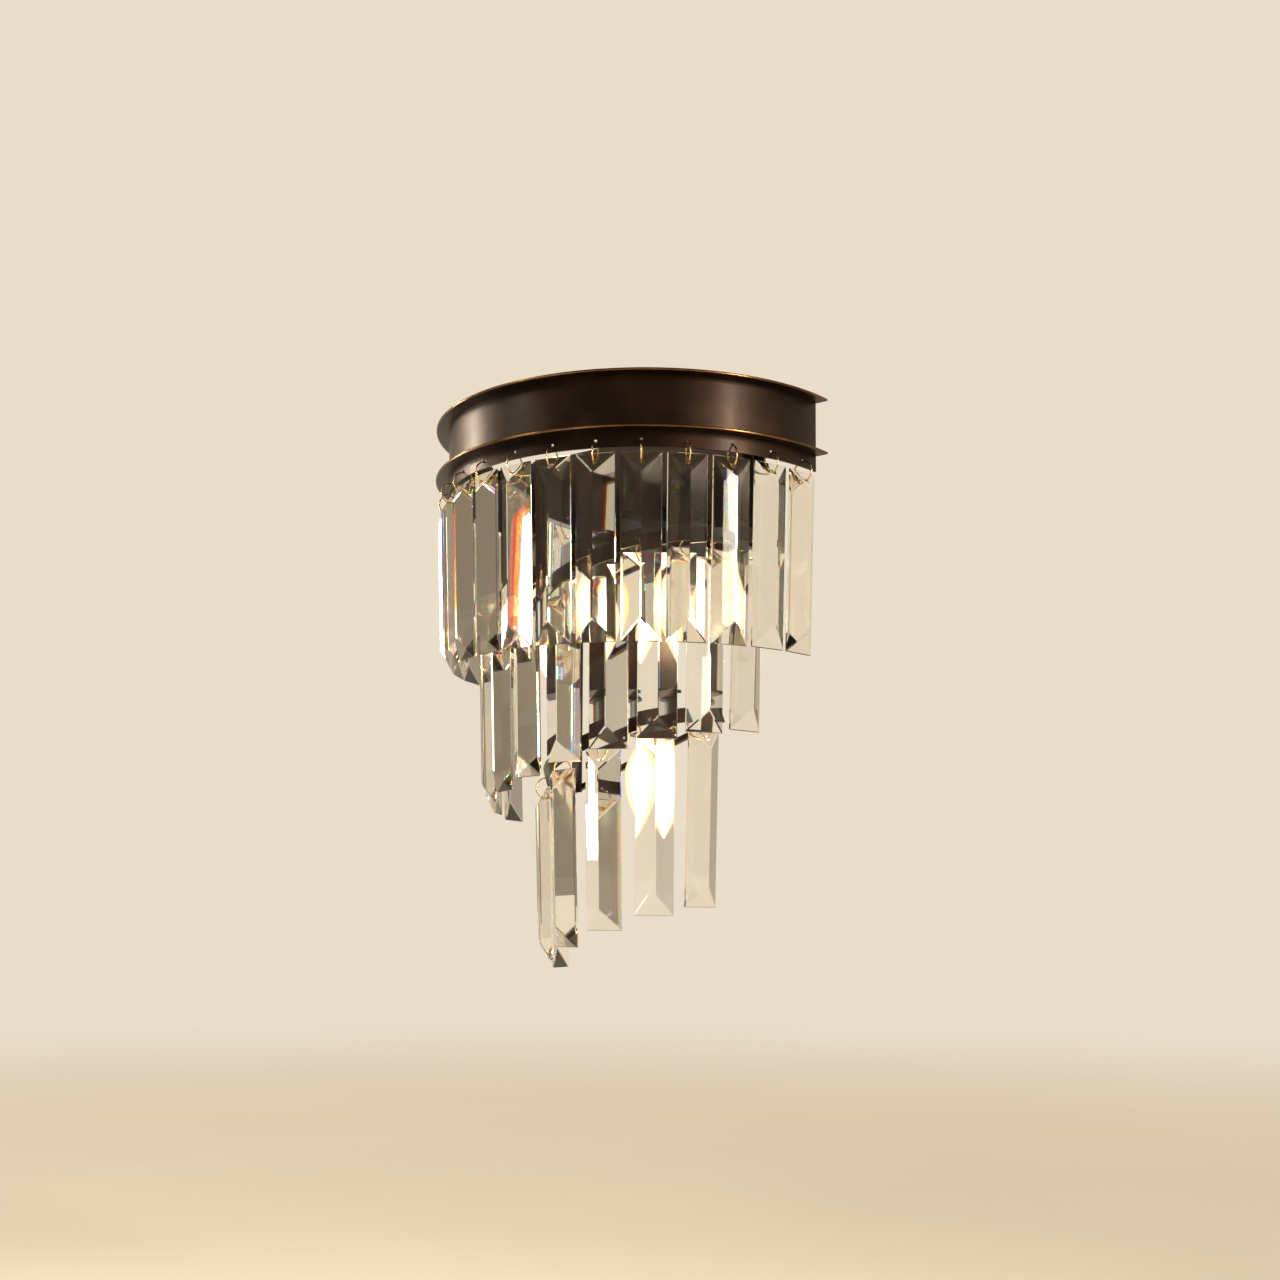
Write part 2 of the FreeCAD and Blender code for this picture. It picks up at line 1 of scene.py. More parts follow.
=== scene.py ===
import itertools
import json
import math

import bpy
import numpy as np
from mathutils import Matrix, Vector


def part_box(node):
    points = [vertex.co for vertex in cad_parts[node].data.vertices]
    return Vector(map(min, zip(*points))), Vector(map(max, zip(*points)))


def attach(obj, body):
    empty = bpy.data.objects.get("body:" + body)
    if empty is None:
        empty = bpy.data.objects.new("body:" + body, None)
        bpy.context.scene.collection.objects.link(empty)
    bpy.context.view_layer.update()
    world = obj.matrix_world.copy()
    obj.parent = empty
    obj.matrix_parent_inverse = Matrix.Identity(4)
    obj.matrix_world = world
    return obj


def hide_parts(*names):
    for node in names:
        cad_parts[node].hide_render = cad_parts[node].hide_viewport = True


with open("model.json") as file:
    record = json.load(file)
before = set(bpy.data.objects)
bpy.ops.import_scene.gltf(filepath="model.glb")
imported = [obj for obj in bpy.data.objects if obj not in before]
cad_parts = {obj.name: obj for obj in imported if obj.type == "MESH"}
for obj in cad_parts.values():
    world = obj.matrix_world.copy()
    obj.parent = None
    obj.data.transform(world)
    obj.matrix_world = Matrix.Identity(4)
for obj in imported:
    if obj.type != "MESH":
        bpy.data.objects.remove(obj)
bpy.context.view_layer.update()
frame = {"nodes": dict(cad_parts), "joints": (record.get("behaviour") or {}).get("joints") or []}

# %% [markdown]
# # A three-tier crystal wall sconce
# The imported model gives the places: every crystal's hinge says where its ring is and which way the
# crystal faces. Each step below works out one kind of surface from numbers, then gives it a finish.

nodes = frame["nodes"]
MM = 0.001

# %% [markdown]
# ## From arrays to meshes
# Each surface below is worked out as an array of points. One helper turns points and faces into
# an object at the origin, and faces of any size may be mixed. A modifier stack could do much of
# this, but an array shows the formula and gives the same mesh every run.

# %% Mesh helper
SHARP_ANGLE = 0.7  # radians between faces, above which an edge stays crisp


def mesh_object(name, points, faces, smooth=False):
    """An object whose vertices are the rows of points (metres) and whose faces index them."""
    mesh = bpy.data.meshes.new(name)
    mesh.from_pydata(np.asarray(points, float).tolist(), [], faces)
    mesh.update()
    if smooth:
        mesh.polygons.foreach_set("use_smooth", [True] * len(mesh.polygons))
        mesh.set_sharp_from_angle(angle=SHARP_ANGLE)
    obj = bpy.data.objects.new(name, mesh)
    bpy.context.scene.collection.objects.link(obj)
    return obj


def grid_faces(rows, columns, close_rows=False, close_columns=False):
    """Quads of a rows x columns grid, optionally closed either way.

    Point (i, j) has index i * columns + j; each quad goes round (i, j), (i, j+1), (i+1, j+1),
    (i+1, j).
    """
    i = np.arange(rows if close_rows else rows - 1)[:, None]
    j = np.arange(columns if close_columns else columns - 1)[None, :]
    here, below = i * columns, (i + 1) % rows * columns
    beside = (j + 1) % columns
    return np.stack([here + j, here + beside, below + beside, below + j], axis=-1).reshape(-1, 4)


print("a 3 x 4 grid has", len(grid_faces(3, 4)), "quads, and", len(grid_faces(3, 4, True, True)),
      "when it is closed both ways")

# %% [markdown]
# ## The cut crystal
# On the real light each crystal is a ridged glass prism, ground flat on every side. So it is made
# here the way it is ground: it is what is left inside a set of flat cuts, the points p with
# n . p <= d for every cut (n, d). Three cuts meet in a corner, so all corners come from solving
# 3 x 3 systems and keeping those inside every cut. The narrow polished bevels are just more cuts.

# %% Crystal sizes, metres
WIDTH = 26.0 * MM
DEPTH = 9.5 * MM
EDGE = 1.0 * MM
LENGTH = 120.0 * MM
FACET = 14.0 * MM
BEVEL = 0.45 * MM
BORE_RADIUS = 1.5 * MM
BORE_DOWN = 7.0 * MM
RING_MEAN = 7.2 * MM
RING_WIRE = 0.5 * MM
BORE_SIDES = 20
print("crystal, mm:", round(WIDTH / MM, 2), "x", round(DEPTH / MM, 2), "x", round(LENGTH / MM, 2),
      "with bevels of", round(BEVEL / MM, 2))


# %% Corners and faces from cuts
INSIDE_BY = 1e-9  # how far outside a cut, in metres, a corner still counts as inside
ON_CUT_BY = 5e-8  # how far from a cut a corner still lies on it
PARALLEL = 1e-6  # three cuts with a determinant below this don't meet in one point
DECIMALS = 8  # corners that agree to this many decimals are the same corner


def unit(v):
    """v scaled to length 1."""
    v = np.asarray(v, float)
    return v / np.linalg.norm(v)


def plane(normal, point):
    """The cut n . p <= n . point."""
    n = unit(normal)
    return n, float(n @ np.asarray(point, float))


def solid_of_cuts(cuts):
    """Corners of {p : n_i . p <= d_i} and, for each cut, its corners in order round the normal.

    Every trio of cuts meets in the p that solves n_i . p = d_i; the corners are those p that lie
    inside all cuts.
    """
    normals = np.array([c[0] for c in cuts])
    offsets = np.array([c[1] for c in cuts])
    trios = np.array(list(itertools.combinations(range(len(cuts)), 3)))
    trios = trios[np.abs(np.linalg.det(normals[trios])) > PARALLEL]
    meets = np.linalg.solve(normals[trios], offsets[trios][..., None])[..., 0]
    inside = np.all(meets @ normals.T <= offsets + INSIDE_BY, axis=1)
    corners = np.unique(np.round(meets[inside], DECIMALS), axis=0)
    faces = []
    for n, d in zip(normals, offsets):
        on = np.where(np.abs(corners @ n - d) < ON_CUT_BY)[0]
        if len(on) < 3:
            continue
        out = corners[on] - corners[on].mean(axis=0)
        u = unit(out[0])
        angles = np.arctan2(out @ np.cross(n, u), out @ u)
        faces.append((n, on[np.argsort(angles)].tolist()))
    return corners, faces


# %% The cuts of one crystal
def crystal_cuts():
    """The nine main cuts of a ridged prism hanging from height 0, and a bevel on each edge.

    Back y <= 0, sides |x| <= w, two long front cuts from the side edges to the ridge, a flat rim
    and a slanting facet at each end. A bevel between cuts a and b has normal unit(n_a + n_b) and
    sits half of BEVEL inside their common edge.
    """
    w, d, e = WIDTH / 2, DEPTH, EDGE
    slope = (d - e) / FACET
    main = [
        plane((0, 1, 0), (0, 0, 0)),
        plane((1, 0, 0), (w, 0, 0)),
        plane((-1, 0, 0), (-w, 0, 0)),
        plane((d - e, -w, 0), (0, -d, 0)),
        plane((-(d - e), -w, 0), (0, -d, 0)),
        plane((0, 0, 1), (0, 0, 0)),
        plane((0, 0, -1), (0, 0, -LENGTH)),
        plane((0, -1, slope), (0, -e, 0)),
        plane((0, -1, -slope), (0, -e, -LENGTH)),
    ]
    corners, faces = solid_of_cuts(main)
    bevels = []
    for a in range(len(faces)):
        for b in range(a + 1, len(faces)):
            shared = set(faces[a][1]) & set(faces[b][1])
            if len(shared) < 2:
                continue
            n = unit(faces[a][0] + faces[b][0])
            point = corners[list(shared)[0]]
            bevels.append((n, float(n @ point) - BEVEL * 0.5))
    return main + bevels


cuts = crystal_cuts()
print("cuts of one crystal:", len(cuts))


# %% A face with a round hole
def bored_face(outer, hole):
    """Triangles between an outer loop of indices and a hole's loop, both given with 2-D points.

    outer and hole are lists of (index, angle) sorted by angle about the hole's centre. Each hole
    edge joins the outer corner nearest in angle; corners passed on the way add one triangle each.
    """
    triangles = []
    n_outer, n_hole = len(outer), len(hole)

    def nearest(angle):
        gaps = [abs((a - angle + math.pi) % (2 * math.pi) - math.pi) for _, a in outer]
        return int(np.argmin(gaps))

    for i in range(n_hole):
        here, there = hole[i], hole[(i + 1) % n_hole]
        span = (there[1] - here[1]) % (2 * math.pi)
        corner = nearest(here[1] + span / 2)
        following = nearest(there[1] + ((hole[(i + 2) % n_hole][1] - there[1])
                                        % (2 * math.pi)) / 2)
        triangles.append((here[0], outer[corner][0], there[0]))
        step = corner
        while step != following:
            after = (step + 1) % n_outer
            triangles.append((there[0], outer[step][0], outer[after][0]))
            step = after
    return triangles


# %% One crystal
SAME_WAY = 0.9999  # cosine above which two normals count as one


def crystal_mesh():
    """Points and faces of one bevelled crystal with its round bore from back to front facet."""
    corners, faces = solid_of_cuts(cuts)
    points = [tuple(c) for c in corners]
    polygons = []
    slope = (DEPTH - EDGE) / FACET
    facet_normal = unit((0, -1, slope))
    turn = np.linspace(0, 2 * math.pi, BORE_SIDES, endpoint=False)
    circle = np.stack([np.cos(turn) * BORE_RADIUS, np.sin(turn) * BORE_RADIUS - BORE_DOWN], axis=1)
    loops = {}
    for key, depth_at in (("back", lambda z: 0.0 * z), ("front", lambda z: -EDGE + z * slope)):
        start = len(points)
        points.extend((x, float(depth_at(z)), z) for x, z in circle)
        loops[key] = [(start + i, float(t)) for i, t in enumerate(turn)]
    for normal, loop in faces:
        key = None
        if normal @ np.array([0, 1, 0]) > SAME_WAY:
            key = "back"
        elif normal @ facet_normal > SAME_WAY:
            key = "front"
        if key is None:
            polygons.append(loop)
            continue
        around = sorted(((i, math.atan2(points[i][2] + BORE_DOWN, points[i][0]) % (2 * math.pi))
                         for i in loop), key=lambda item: item[1])
        fan = bored_face(around, loops[key])
        for a, b, c in fan:
            pa, pb, pc = (np.array(points[i]) for i in (a, b, c))
            facing_out = np.cross(pb - pa, pc - pa) @ normal > 0
            polygons.append((a, b, c) if facing_out else (a, c, b))
    for i in range(BORE_SIDES):
        j = (i + 1) % BORE_SIDES
        polygons.append((loops["back"][i][0], loops["back"][j][0],
                         loops["front"][j][0], loops["front"][i][0]))
    return np.array(points), polygons


crystal_points, crystal_faces = crystal_mesh()
print("one crystal:", len(crystal_points), "points,", len(crystal_faces), "faces")

# %% [markdown]
# ## Hanging the crystals
# A real crystal hangs plumb: its centre of mass lies right under its ring's centre. In the
# crystal's own axes the ring's lowest point is the seat, the upright runs from the centre of mass
# through the seat, and the hinge is one ring radius further up. The depth of the centre of mass is
# rounded here to 3.10 mm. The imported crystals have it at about 3.06 mm and lean 1.705 degrees, so
# these lean 0.05 degrees more, which is 0.1 mm at a crystal's end.

# %% Seat, lean and placement
CENTRE_DEPTH = -3.10 * MM
SEAT_IN = 1.5 * MM
glass_there = EDGE + (DEPTH - EDGE) * BORE_DOWN / FACET
arc_reach = max(glass_there - SEAT_IN, SEAT_IN) + BORE_RADIUS / 2
arc_rise = RING_MEAN - math.sqrt(RING_MEAN ** 2 - arc_reach ** 2)
RING_PLAY = 0.1 * MM
seat = np.array([0, -SEAT_IN, -BORE_DOWN + BORE_RADIUS - RING_WIRE - arc_rise - RING_PLAY])
upright = unit(seat - np.array([0, CENTRE_DEPTH, -LENGTH / 2]))
lean = math.atan2(upright[1], upright[2])
hinge_point = seat + upright * RING_MEAN
print("each crystal leans, degrees:", round(math.degrees(lean), 3))


def turn_z(angle):
    """Rotation matrix about the upright axis."""
    c, s = math.cos(angle), math.sin(angle)
    return np.array([[c, -s, 0], [s, c, 0], [0, 0, 1]])


def turn_x(angle):
    """Rotation matrix about the x axis."""
    c, s = math.cos(angle), math.sin(angle)
    return np.array([[1, 0, 0], [0, c, -s], [0, s, c]])


def facing_of(joint):
    """Compass angle a hinge's crystal faces; its axis is (-cos, -sin, 0) of that angle."""
    return math.atan2(-joint["axis"][1], -joint["axis"][0])


# %% All crystals in place
joints = {j["child"]: j for j in frame["joints"]}
crystals = {}
for body, joint in sorted(joints.items()):
    turn = turn_z(facing_of(joint)) @ turn_x(lean)
    placed = (crystal_points - hinge_point) @ turn.T + np.array(joint["pos_m"])
    obj = mesh_object(f"cut_{body}", placed, crystal_faces)
    crystals[body] = obj
    low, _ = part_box(body)
    print(body, "lowest point off the packed one by mm",
          round((placed[:, 2].min() - low[2]) / MM, 3))

# %% [markdown]
# ## Rings
# Round brass wire links each crystal to its hoop. A ring is a torus in the upright plane through
# its crystal's facing direction f: with k upright and centre c, c + R (f cos u + k sin u) is the
# wire's middle line, and the wire's section has radius r. The formula sets how finely the wire is
# divided.

# %% Rings of each tier
RING_STEPS = 40
WIRE_STEPS = 12


def ring_points(centre, angle):
    """Grid of a torus with its axis along the tangent of the compass angle."""
    out = np.array([math.sin(angle), -math.cos(angle), 0.0])
    up = np.array([0.0, 0.0, 1.0])
    side = np.cross(out, up)
    u = np.linspace(0, 2 * math.pi, RING_STEPS, endpoint=False)
    v = np.linspace(0, 2 * math.pi, WIRE_STEPS, endpoint=False)
    radial = np.cos(u)[:, None] * out + np.sin(u)[:, None] * up
    wire = (radial[:, None, :] * (RING_MEAN + RING_WIRE * np.cos(v))[None, :, None]
            + side * (RING_WIRE * np.sin(v))[None, :, None])
    return (np.asarray(centre) + wire).reshape(-1, 3)


rings = {}
for tier in ("top", "middle", "lower"):
    points, faces = [], []
    for body, joint in sorted(joints.items()):
        if not body.startswith(tier):
            continue
        start = sum(len(p) for p in points)
        points.append(ring_points(joint["pos_m"], facing_of(joint)))
        faces.append(start + grid_faces(RING_STEPS, WIRE_STEPS, True, True))
    rings[tier] = mesh_object(f"wire_{tier}_rings", np.concatenate(points),
                              np.concatenate(faces).tolist(), smooth=True)
    print(tier, "rings:", len(points))

# %% [markdown]
# ## Rims of the band
# Each rim is a flat flange. The photograph shows a thin gold line along its outer edge, so the lip
# is rounded and has a brighter metal of its own: a painted highlight, a lighter colour that stands
# for that line of light. The section is a closed outline in (radius, height), and turning it through
# half a circle in front of the wall gives the surface.

# %% Section and half turn
TURN_STEPS = 160
LIP_STEPS = 6
LIP_SHARE = 0.45  # radius of the lip as a share of the flange's thickness


def rounded_section(r_in, r_out, low, high, radius, steps):
    """Outline of a plate's section whose outer lip is rounded to a given radius."""
    outline = [(r_in, low), (r_out - radius, low)]
    outline += [(r_out - radius + radius * math.sin(t), (low + radius) - radius * math.cos(t))
                for t in np.linspace(0, math.pi / 2, steps)[1:]]
    outline += [(r_out - radius + radius * math.cos(t), (high - radius) + radius * math.sin(t))
                for t in np.linspace(0, math.pi / 2, steps)]
    outline += [(r_in, high)]
    return outline


def half_turn(name, outline):
    """Surface (r sin a, -r cos a, z), a from -90 to 90 degrees, ends closed on the wall plane."""
    section = np.array(outline)
    a = np.linspace(-math.pi / 2, math.pi / 2, TURN_STEPS)
    x = np.sin(a)[:, None] * section[:, 0]
    y = -np.cos(a)[:, None] * section[:, 0]
    z = np.broadcast_to(section[:, 1], x.shape)
    points = np.stack([x, y, z], axis=-1).reshape(-1, 3)
    columns = len(section)
    faces = grid_faces(TURN_STEPS, columns, close_columns=True).tolist()
    faces.append(list(range(columns)))
    faces.append(list(reversed(range((TURN_STEPS - 1) * columns, TURN_STEPS * columns))))
    return mesh_object(name, points, faces, smooth=True)


# %% Two rims, each with the lip's faces marked
columns = 2 * LIP_STEPS + 2
on_lip = (np.arange(columns) >= 1) & (np.arange(columns) <= 2 * LIP_STEPS - 1)
rim_zone = np.concatenate([np.tile(on_lip, TURN_STEPS - 1), [False, False]]).astype(int).tolist()
rims = {}
for node in ("top_rim", "lower_rim"):
    low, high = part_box(node)
    reach = high[0]
    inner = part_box("top_band")[1][0]
    rims[node] = half_turn(f"lip_{node}", rounded_section(inner, reach, low[2], high[2],
                                                          (high[2] - low[2]) * LIP_SHARE,
                                                          LIP_STEPS))
    print(node, "radius mm", round(reach / MM, 1), "height mm", round((high[2] - low[2]) / MM, 2))

# %% [markdown]
# ## Candle bulbs
# A candle bulb is blown glass, round about its axis, so a smooth profile turned about that axis
# gives its envelope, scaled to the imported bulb's width and height. The bulbs point down. Inside
# each is one glowing core, turned the same way, for the filaments that the glare hides.

# %% Profiles: share of the half width, and share of the height from the base down to the tip
BULB_PROFILE = [(0.378, 0.0), (0.38, 0.03), (0.46, 0.08), (0.68, 0.16), (0.84, 0.24),
                (0.955, 0.33), (0.985, 0.42), (0.945, 0.52), (0.84, 0.62), (0.68, 0.72),
                (0.48, 0.82), (0.27, 0.91), (0.13, 0.965), (0.05, 0.992), (0.0, 0.998)]
CORE_PROFILE = [(0.0, 0), (0.5, 0.02), (0.8, 0.2), (1.0, 0.5), (0.8, 0.8), (0.4, 0.98),
                (0.0, 1)]
CORE_WIDTH = 0.45
CORE_START = 0.2
CORE_HEIGHT = 0.5
SPIN_STEPS = 48


def smooth_profile(outline, per_span=4):
    """Catmull-Rom curve through (radius, height) pairs."""
    p = np.array(outline, float)
    padded = np.vstack([2 * p[0] - p[1], p, 2 * p[-1] - p[-2]])
    out = []
    for i in range(1, len(padded) - 2):
        for t in np.linspace(0, 1, per_span, endpoint=False):
            a, b, c, d = padded[i - 1:i + 3]
            out.append(0.5 * ((2 * b) + (c - a) * t + (2 * a - 5 * b + 4 * c - d) * t ** 2
                              + (3 * b - a - 3 * c + d) * t ** 3))
    out.append(padded[-2])
    out = np.array(out)
    out[:, 0] = np.maximum(out[:, 0], 0)
    return out


def spun(name, centre, outline):
    """Surface of revolution of (radius, z) about the upright line through centre."""
    outline = np.array(outline)
    a = np.linspace(0, 2 * math.pi, SPIN_STEPS, endpoint=False)
    x = centre[0] + np.cos(a)[:, None] * outline[:, 0]
    y = centre[1] + np.sin(a)[:, None] * outline[:, 0]
    z = np.broadcast_to(outline[:, 1], x.shape)
    points = np.stack([x, y, z], axis=-1).reshape(-1, 3)
    return mesh_object(name, points,
                       grid_faces(SPIN_STEPS, len(outline), close_rows=True).tolist(), smooth=True)


# %% Three bulbs and their cores
bulbs = {}
glow = {}
for word in ("left", "right", "low"):
    low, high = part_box(f"{word}_bulb")
    centre = [(low[0] + high[0]) / 2, (low[1] + high[1]) / 2]
    wide = (high[0] - low[0]) / 2
    tall = high[2] - low[2]
    profile = smooth_profile(BULB_PROFILE)
    outside = np.stack([profile[:, 0] * wide, high[2] - profile[:, 1] * tall], axis=1)
    bulbs[word] = spun(f"envelope_{word}", centre, outside)
    core = [(r * wide * CORE_WIDTH, high[2] - (CORE_START + CORE_HEIGHT * t) * tall)
            for r, t in CORE_PROFILE]
    glow[word] = spun(f"filament_{word}", centre, smooth_profile(core))
    print(word, "bulb centre mm", [round(c / MM, 1) for c in centre], "top", round(high[2] / MM, 1))

# %% [markdown]
# ## Finishes
# The band and hoops look like dark bronze, the rings like brass. One metal function makes them
# all: a cloudy colour, a fine stretched grain that changes the roughness, and a slight bump. All
# patterns are in object space, so they stay with each piece and need no image.


# %% Node helpers
def new_material(name):
    """A node material with only its output; returns material, nodes, links and output."""
    material = bpy.data.materials.new(name)
    material.use_nodes = True
    tree = material.node_tree
    tree.nodes.clear()
    output = tree.nodes.new("ShaderNodeOutputMaterial")
    return material, tree.nodes, tree.links, output


def noise(tree_nodes, links, scale, detail=4.0, stretch=(1, 1, 1)):
    """Object-space noise, stretched along the axes."""
    coords = tree_nodes.new("ShaderNodeTexCoord")
    mapping = tree_nodes.new("ShaderNodeMapping")
    mapping.inputs["Scale"].default_value = stretch
    texture = tree_nodes.new("ShaderNodeTexNoise")
    texture.inputs["Scale"].default_value = scale
    texture.inputs["Detail"].default_value = detail
    links.new(coords.outputs["Object"], mapping.inputs["Vector"])
    links.new(mapping.outputs["Vector"], texture.inputs["Vector"])
    return texture.outputs["Fac"]


def ramp(tree_nodes, links, value, stops):
    """A colour ramp with (position, colour) stops."""
    node = tree_nodes.new("ShaderNodeValToRGB")
    links.new(value, node.inputs["Fac"])
    elements = node.color_ramp.elements
    elements[0].position, elements[0].color = stops[0][0], (*stops[0][1], 1)
    elements[1].position, elements[1].color = stops[-1][0], (*stops[-1][1], 1)
    for position, colour in stops[1:-1]:
        element = elements.new(position)
        element.color = (*colour, 1)
    return node.outputs["Color"]


def bump(tree_nodes, links, value, strength, distance):
    """A bump from a height value."""
    node = tree_nodes.new("ShaderNodeBump")
    node.inputs["Strength"].default_value = strength
    node.inputs["Distance"].default_value = distance
    links.new(value, node.inputs["Height"])
    return node.outputs["Normal"]


def spread(tree_nodes, links, value, low, high):
    """Maps 0..1 to low..high."""
    node = tree_nodes.new("ShaderNodeMapRange")
    node.inputs["To Min"].default_value = low
    node.inputs["To Max"].default_value = high
    links.new(value, node.inputs["Value"])
    return node.outputs["Result"]


# %% One function for every metal
CLOUD_SCALE = 38.0
CLOUD_DETAIL = 5.0
GRAIN_DETAIL = 3.0
GRAIN_HEIGHT = 0.0001


def metal(name, stops, rough, grain_scale, grain_stretch, bump_strength, metallic=1.0):
    """A metal with cloudy colour, a stretched grain in roughness and a fine bump."""
    material, n, links, output = new_material(name)
    shader = n.new("ShaderNodeBsdfPrincipled")
    shader.inputs["Metallic"].default_value = metallic
    cloud = noise(n, links, CLOUD_SCALE, CLOUD_DETAIL)
    grain = noise(n, links, grain_scale, GRAIN_DETAIL, grain_stretch)
    links.new(ramp(n, links, cloud, stops), shader.inputs["Base Color"])
    links.new(spread(n, links, grain, rough[0], rough[1]), shader.inputs["Roughness"])
    links.new(bump(n, links, grain, bump_strength, GRAIN_HEIGHT), shader.inputs["Normal"])
    links.new(shader.outputs["BSDF"], output.inputs["Surface"])
    return material, shader


# %% Bronze, brass, steel and black socket
bronze, bronze_shader = metal(
    "dark_bronze", [(0.30, (0.011, 0.0045, 0.0020)), (0.55, (0.022, 0.0095, 0.0042)),
                    (0.75, (0.042, 0.019, 0.0085))],
    rough=(0.30, 0.46), grain_scale=520.0, grain_stretch=(1, 1, 4), bump_strength=0.10,
    metallic=0.7)
bronze_shader.inputs["Specular IOR Level"].default_value = 0.3
bronze_shader.inputs["Coat Weight"].default_value = 0.12
bronze_shader.inputs["Coat Roughness"].default_value = 0.25
# The lip's metal is painted lighter than the bronze: a painted highlight for the gold line of light
# along the rims' edge.
lip, _ = metal(
    "lip_painted_highlight", [(0.30, (0.10, 0.050, 0.020)), (0.55, (0.22, 0.115, 0.045)),
                      (0.75, (0.42, 0.24, 0.10))],
    rough=(0.16, 0.30), grain_scale=640.0, grain_stretch=(1, 1, 3), bump_strength=0.1)
brass, _ = metal(
    "ring_brass", [(0.3, (0.72, 0.48, 0.20)), (0.7, (0.90, 0.66, 0.33))],
    rough=(0.12, 0.24), grain_scale=900.0, grain_stretch=(1, 1, 1), bump_strength=0.08)
base_metal, _ = metal(
    "base_brass", [(0.3, (0.60, 0.44, 0.22)), (0.7, (0.80, 0.62, 0.36))],
    rough=(0.22, 0.4), grain_scale=700.0, grain_stretch=(1, 1, 12), bump_strength=0.3)
zinc, _ = metal(
    "zinc_steel", [(0.3, (0.46, 0.47, 0.47)), (0.7, (0.62, 0.62, 0.61))],
    rough=(0.28, 0.5), grain_scale=240.0, grain_stretch=(1, 1, 1), bump_strength=0.1)
socket_black, _ = metal(
    "socket_black", [(0.3, (0.020, 0.018, 0.016)), (0.7, (0.04, 0.036, 0.03))],
    rough=(0.4, 0.6), grain_scale=500.0, grain_stretch=(1, 1, 1), bump_strength=0.2, metallic=0.0)
print("metals:", [m.name for m in (bronze, lip, brass, base_metal, zinc, socket_black)])

# %% [markdown]
# ## Crystal glass that splits light
# Glass bends blue more than red, and a cut crystal shows it as small rainbows. Cycles gives a
# glass one index for all colours, so five glasses, from red to blue and each with its own index,
# are added up to white. A large share of plain clear glass keeps most of the stone free of colour,
# as in the photograph, where only a few cuts show a spectrum.

# %% Crystal
CLEAR_INDEX = 1.52
SPECTRUM = [((0.55, 0.00, 0.00, 1), 1.498), ((0.35, 0.30, 0.00, 1), 1.509),
            ((0.10, 0.50, 0.05, 1), 1.520), ((0.00, 0.20, 0.40, 1), 1.533),
            ((0.00, 0.00, 0.55, 1), 1.547)]
RAINBOW_SHARE = 0.22


def glass_node(n, colour, index):
    """A smooth glass of one colour and index."""
    glass = n.new("ShaderNodeBsdfGlass")
    glass.inputs["Color"].default_value = colour
    glass.inputs["IOR"].default_value = index
    glass.inputs["Roughness"].default_value = 0.0
    return glass


def crystal_material():
    """Clear glass with a share of coloured glasses of different index that add up to white."""
    material, n, links, output = new_material("cut_crystal")
    split = None
    for colour, index in SPECTRUM:
        glass = glass_node(n, colour, index)
        if split is None:
            split = glass.outputs["BSDF"]
            continue
        both = n.new("ShaderNodeAddShader")
        links.new(split, both.inputs[0])
        links.new(glass.outputs["BSDF"], both.inputs[1])
        split = both.outputs["Shader"]
    clear = glass_node(n, (1, 1, 1, 1), CLEAR_INDEX)
    tint = ramp(n, links, noise(n, links, 30.0, 2.0), [(0.3, (1.0, 0.970, 0.915)),
                                                       (0.7, (1.0, 0.985, 0.950))])
    links.new(tint, clear.inputs["Color"])
    mix = n.new("ShaderNodeMixShader")
    mix.inputs["Fac"].default_value = RAINBOW_SHARE
    links.new(clear.outputs["BSDF"], mix.inputs[1])
    links.new(split, mix.inputs[2])
    links.new(mix.outputs["Shader"], output.inputs["Surface"])
    return material


crystal_glass = crystal_material()
print("colours add up to:", [round(sum(colour[i] for colour, _ in SPECTRUM), 2) for i in range(3)])

# %% [markdown]
# ## Lit bulbs
# A lit bulb is a bright core in clear glass that seems filled with light. The core is a plain
# emitter. The envelope lets light through, adds a warm haze of its own and is glossy toward its
# edge. A haze that scattered real light inside the glass would need more samples.

# %% Core and envelope
FILAMENT_STRENGTH = 60.0
HAZE_STRENGTH = 3.2
HAZE_SHARE = 0.55
EDGE_BLEND = 0.25
ENVELOPE_ROUGHNESS = 0.03


def glow_material():
    """Warm light with a slightly cloudy colour."""
    material, n, links, output = new_material("filament_glow")
    shader = n.new("ShaderNodeEmission")
    colour = ramp(n, links, noise(n, links, 60.0, 2.0), [(0.3, (1.0, 0.70, 0.40)),
                                                        (0.7, (1.0, 0.80, 0.54))])
    links.new(colour, shader.inputs["Color"])
    shader.inputs["Strength"].default_value = FILAMENT_STRENGTH
    links.new(shader.outputs["Emission"], output.inputs["Surface"])
    return material


def envelope_material():
    """A lit bulb's glass: clear and glossy, filled with a warm haze of light."""
    material, n, links, output = new_material("bulb_envelope")
    clear = n.new("ShaderNodeBsdfTransparent")
    gloss = n.new("ShaderNodeBsdfGlossy")
    gloss.inputs["Roughness"].default_value = ENVELOPE_ROUGHNESS
    haze = n.new("ShaderNodeEmission")
    edge = n.new("ShaderNodeLayerWeight")
    edge.inputs["Blend"].default_value = EDGE_BLEND
    links.new(ramp(n, links, edge.outputs["Facing"], [(0.0, (1.0, 0.86, 0.62)),
                                                      (0.6, (1.0, 0.58, 0.24))]),
              haze.inputs["Color"])
    haze.inputs["Strength"].default_value = HAZE_STRENGTH
    lit = n.new("ShaderNodeMixShader")
    lit.inputs["Fac"].default_value = HAZE_SHARE
    links.new(clear.outputs["BSDF"], lit.inputs[1])
    links.new(haze.outputs["Emission"], lit.inputs[2])
    mix = n.new("ShaderNodeMixShader")
    links.new(edge.outputs["Fresnel"], mix.inputs["Fac"])
    links.new(lit.outputs["Shader"], mix.inputs[1])
    links.new(gloss.outputs["BSDF"], mix.inputs[2])
    links.new(mix.outputs["Shader"], output.inputs["Surface"])
    return material


filament_glow = glow_material()
envelope_glass = envelope_material()
print("light materials:", filament_glow.name, envelope_glass.name)
